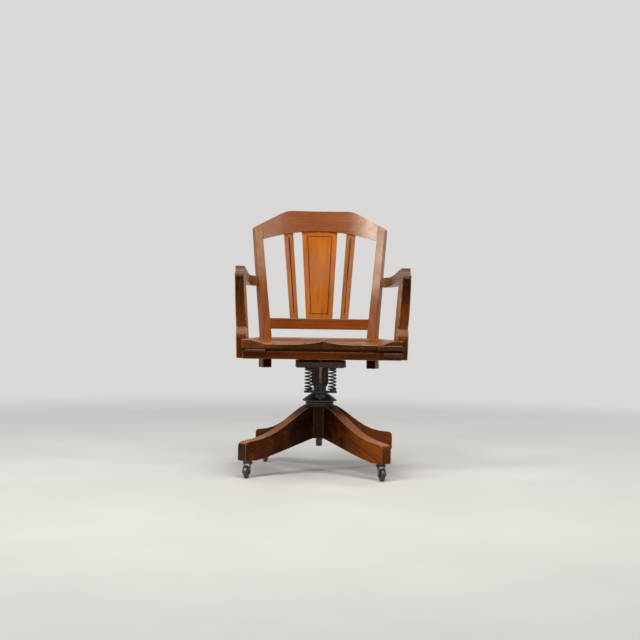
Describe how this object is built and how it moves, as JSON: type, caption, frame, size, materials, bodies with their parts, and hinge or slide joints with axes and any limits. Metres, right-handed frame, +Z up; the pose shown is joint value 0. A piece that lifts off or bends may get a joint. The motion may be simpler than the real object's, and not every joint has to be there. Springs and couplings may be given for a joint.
{
  "type": "bankers swivel chair",
  "caption": "Wooden armchair on a swivelling, height-adjustable and spring-tilting screw column, with curved legs on casters, a saddle seat and a bowed slatted back.",
  "frame": {"origin": "on the floor, on the swivel axis, under the hub", "axes": "+Z up along the swivel axis, -Y the way a sitter faces, +X to the sitter's left"},
  "size_m": [0.6058, 0.6524, 0.9711],
  "materials": {
    "oak": "satin varnish, worn",
    "shaded_oak": "satin varnish, darkened",
    "panel_oak": "satin varnish",
    "black_iron": "black, worn",
    "steel": "dulled",
    "spring_steel": "dark, rusted",
    "rubber": "matt"
  },
  "bodies": {
    "base": {"hub": "shaded_oak", "leg_rear_right": "oak", "leg_rear_left": "oak", "leg_front_left": "oak", "leg_front_right": "oak", "caster_socket_rear_right": "steel", "caster_socket_rear_left": "steel", "caster_socket_front_left": "steel", "caster_socket_front_right": "steel", "guide_bush": "black_iron", "hub_collar": "black_iron"},
    "turntable": {"thrust_washer": "steel"},
    "handwheel": {"handwheel": "black_iron"},
    "column": {"height_screw": "steel", "tilt_yoke": "black_iron", "rest_buffer_right": "rubber", "rest_buffer_left": "rubber", "tilt_spring_right": "spring_steel", "tilt_spring_left": "spring_steel"},
    "seat": {"seat_iron_right": "black_iron", "seat_iron_left": "black_iron", "pivot_pin": "steel", "tension_cross_bar": "steel", "seat_plank": "oak", "front_rail": "shaded_oak", "rear_rail": "shaded_oak", "side_rail_right": "shaded_oak", "side_rail_left": "shaded_oak", "front_roll_left": "shaded_oak", "front_roll_right_upper": "shaded_oak", "front_roll_right_lower": "shaded_oak", "arm_post_right": "oak", "arm_post_left": "oak", "arm_right": "oak", "arm_left": "oak", "back_post_right": "oak", "back_post_left": "oak", "crest_rail": "oak", "lower_back_rail": "oak", "centre_splat": "panel_oak", "back_slat_right": "oak", "back_slat_left": "oak"},
    "tension_bolt": {"tension_bolt": "steel"},
    "spring_plate": {"spring_plate": "black_iron"},
    "tension_knob": {"tension_knob": "black_iron"},
    "caster_fork_rear_right": {"caster_fork_rear_right": "black_iron", "caster_axle_rear_right": "steel"},
    "caster_fork_rear_left": {"caster_fork_rear_left": "black_iron", "caster_axle_rear_left": "steel"},
    "caster_fork_front_left": {"caster_fork_front_left": "black_iron", "caster_axle_front_left": "steel"},
    "caster_fork_front_right": {"caster_fork_front_right": "black_iron", "caster_axle_front_right": "steel"},
    "caster_wheel_rear_right": {"caster_wheel_rear_right": "steel"},
    "caster_wheel_rear_left": {"caster_wheel_rear_left": "steel"},
    "caster_wheel_front_left": {"caster_wheel_front_left": "steel"},
    "caster_wheel_front_right": {"caster_wheel_front_right": "steel"}
  },
  "joints": [
    {"name": "swivel", "type": "hinge", "parent": "base", "child": "turntable", "pos_m": [0, 0, 0.25], "axis": [0, 0, 1], "continuous": true},
    {"name": "handwheel_turn", "type": "hinge", "parent": "turntable", "child": "handwheel", "pos_m": [0, 0, 0.26], "axis": [0, 0, 1], "range_deg": [0, 3600]},
    {"name": "height_adjust", "type": "slide", "parent": "turntable", "child": "column", "axis": [0, 0, 1], "range_m": [0, 0.08]},
    {"name": "seat_tilt", "type": "hinge", "parent": "column", "child": "seat", "pos_m": [0, 0, 0.3881], "axis": [-1, 0, 0], "range_deg": [0, 18], "stiffness_Nm_per_rad": 150, "springref_deg": -17.19, "deforming": ["tilt_spring_right", "tilt_spring_left"]},
    {"name": "tension_bolt_lean", "type": "hinge", "parent": "seat", "child": "tension_bolt", "pos_m": [0, -0.075, 0.4141], "axis": [-1, 0, 0], "range_deg": [-12.6, 0]},
    {"name": "tension_travel", "type": "slide", "parent": "tension_bolt", "child": "spring_plate", "axis": [0, 0, 1], "range_m": [0, 0.008]},
    {"name": "tension_knob_turn", "type": "hinge", "parent": "spring_plate", "child": "tension_knob", "pos_m": [0, -0.075, 0.277], "axis": [0, 0, 1], "range_deg": [0, 1440]},
    {"name": "caster_swivel_rear_right", "type": "hinge", "parent": "base", "child": "caster_fork_rear_right", "pos_m": [0.24995, 0.20458, 0.06], "axis": [0, 0, 1], "continuous": true},
    {"name": "caster_swivel_rear_left", "type": "hinge", "parent": "base", "child": "caster_fork_rear_left", "pos_m": [-0.20458, 0.24995, 0.06], "axis": [0, 0, 1], "continuous": true},
    {"name": "caster_swivel_front_left", "type": "hinge", "parent": "base", "child": "caster_fork_front_left", "pos_m": [-0.24995, -0.20458, 0.06], "axis": [0, 0, 1], "continuous": true},
    {"name": "caster_swivel_front_right", "type": "hinge", "parent": "base", "child": "caster_fork_front_right", "pos_m": [0.20458, -0.24995, 0.06], "axis": [0, 0, 1], "continuous": true},
    {"name": "wheel_roll_rear_right", "type": "hinge", "parent": "caster_fork_rear_right", "child": "caster_wheel_rear_right", "pos_m": [0.23948, 0.19119, 0.0215], "axis": [0.788, -0.6157, 0], "continuous": true},
    {"name": "wheel_roll_rear_left", "type": "hinge", "parent": "caster_fork_rear_left", "child": "caster_wheel_rear_left", "pos_m": [-0.19933, 0.23378, 0.0215], "axis": [0.9511, 0.309, 0], "continuous": true},
    {"name": "wheel_roll_front_left", "type": "hinge", "parent": "caster_fork_front_left", "child": "caster_wheel_front_left", "pos_m": [-0.25349, -0.22121, 0.0215], "axis": [0.9781, -0.2079, 0], "continuous": true},
    {"name": "wheel_roll_front_right", "type": "hinge", "parent": "caster_fork_front_right", "child": "caster_wheel_front_right", "pos_m": [0.20812, -0.26658, 0.0215], "axis": [0.9781, 0.2079, 0], "continuous": true}
  ],
  "couplings": [
    {"joint": "height_adjust", "follows": "handwheel_turn", "m_per_rad": 0.0012732},
    {"joint": "tension_bolt_lean", "follows": "seat_tilt", "ratio": -0.6995},
    {"joint": "tension_knob_turn", "follows": "tension_travel", "rad_per_m": 3141.5}
  ]
}
